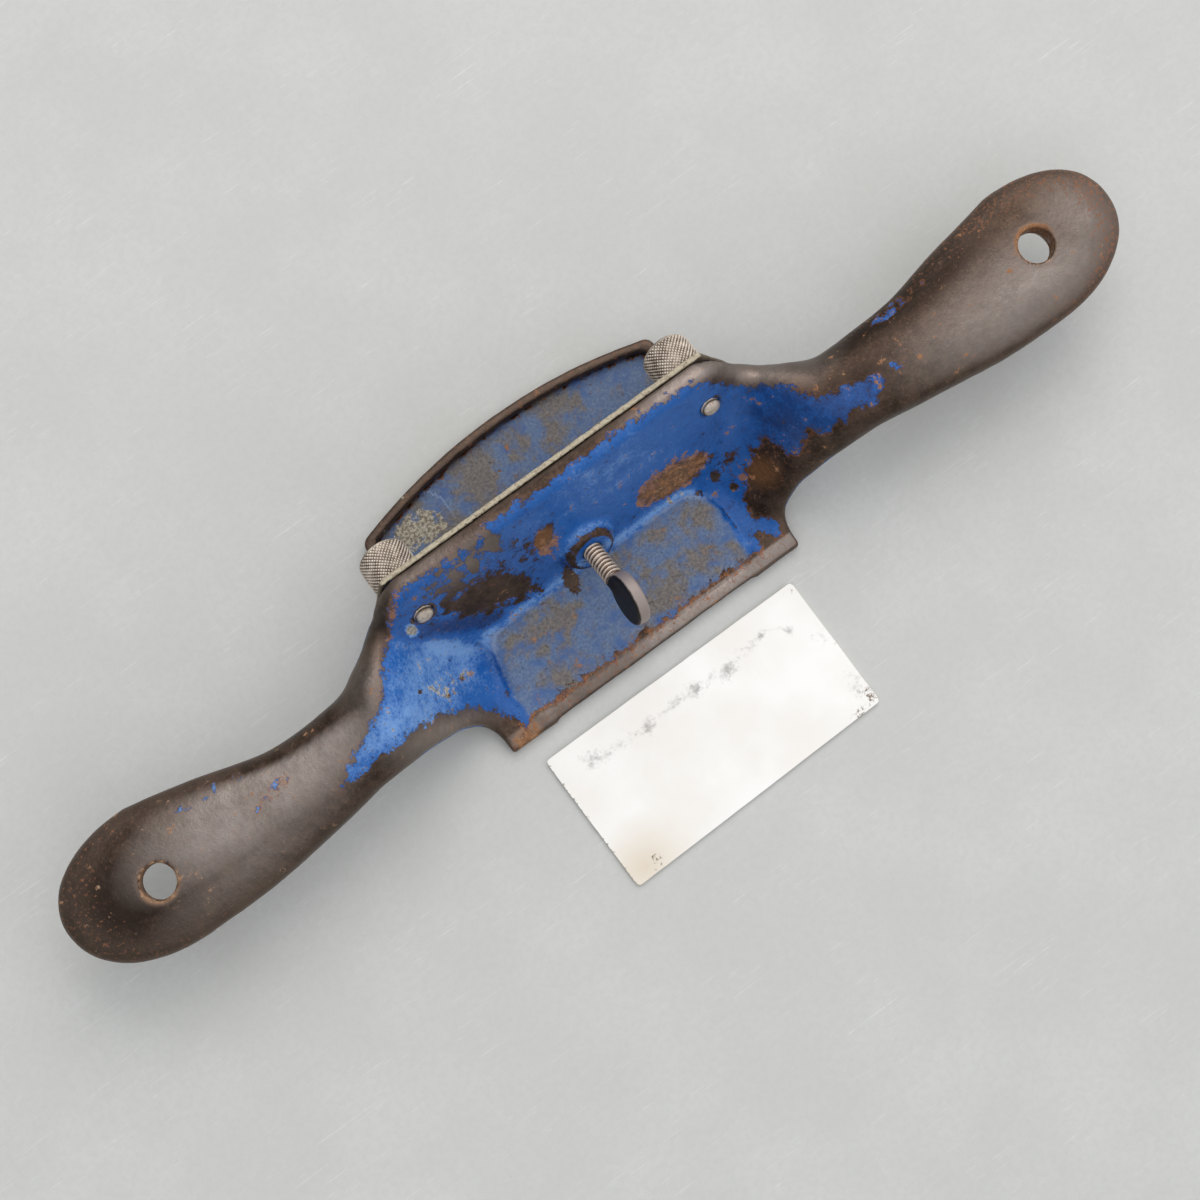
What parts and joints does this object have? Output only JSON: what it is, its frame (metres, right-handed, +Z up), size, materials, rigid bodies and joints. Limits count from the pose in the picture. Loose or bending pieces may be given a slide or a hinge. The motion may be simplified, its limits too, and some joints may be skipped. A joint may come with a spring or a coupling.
{
  "type": "scraper spokeshave",
  "caption": "Cast iron cabinet scraper with two cranked handles, a clamp plate on knurled thumb screws, a blade bowing screw and its loose blade.",
  "frame": {"origin": "on the sole's working face, midway between its ends and midway along its depth, just ahead of the mouth", "axes": "+X along the handles to the right handle, +Y to the front of the sole with the tool's arched rim, +Z up, square to the sole"},
  "size_m": [0.2834, 0.1068, 0.0391],
  "materials": {
    "worn_paint": "worn blue paint over bare brown iron",
    "plate_steel": "worn sheet steel with a rough sheared edge",
    "screw_steel": "knurled steel with grime and some rust",
    "dark_steel": "dark steel, bright along the rim",
    "blade_steel": "bright scraped steel with grey stains and rust at the corners"
  },
  "bodies": {
    "casting": {"body_casting": "worn_paint"},
    "plate": {"clamp_plate": "plate_steel"},
    "left_screw": {"left_clamp_screw": "screw_steel"},
    "right_screw": {"right_clamp_screw": "screw_steel"},
    "bower": {"bow_screw": "dark_steel"},
    "blade": {"scraper_blade": "blade_steel"}
  },
  "joints": [
    {"name": "plate_travel", "type": "slide", "parent": "casting", "child": "plate", "axis": [0, 0.8829, -0.4695], "range_m": [0, 0.00327]},
    {"name": "left_screw_turn", "type": "hinge", "parent": "plate", "child": "left_screw", "pos_m": [-0.039, 0.00826, 0.02667], "axis": [0, 0.8829, -0.4695], "range_deg": [0, 1080]},
    {"name": "right_screw_turn", "type": "hinge", "parent": "plate", "child": "right_screw", "pos_m": [0.039, 0.00826, 0.02667], "axis": [0, 0.8829, -0.4695], "range_deg": [0, 1080]},
    {"name": "bow_screw_turn", "type": "hinge", "parent": "casting", "child": "bower", "pos_m": [0, -0.00714, 0.01753], "axis": [0, 0.8829, -0.4695], "range_deg": [-360, 360]},
    {"name": "blade_lift", "type": "slide", "parent": "casting", "child": "blade", "axis": [0, 0, 1], "range_m": [0, 0.06]}
  ],
  "couplings": [
    {"joint": "plate_travel", "follows": "left_screw_turn", "m_per_rad": 0.00016839},
    {"joint": "right_screw_turn", "follows": "left_screw_turn", "ratio": 1}
  ]
}
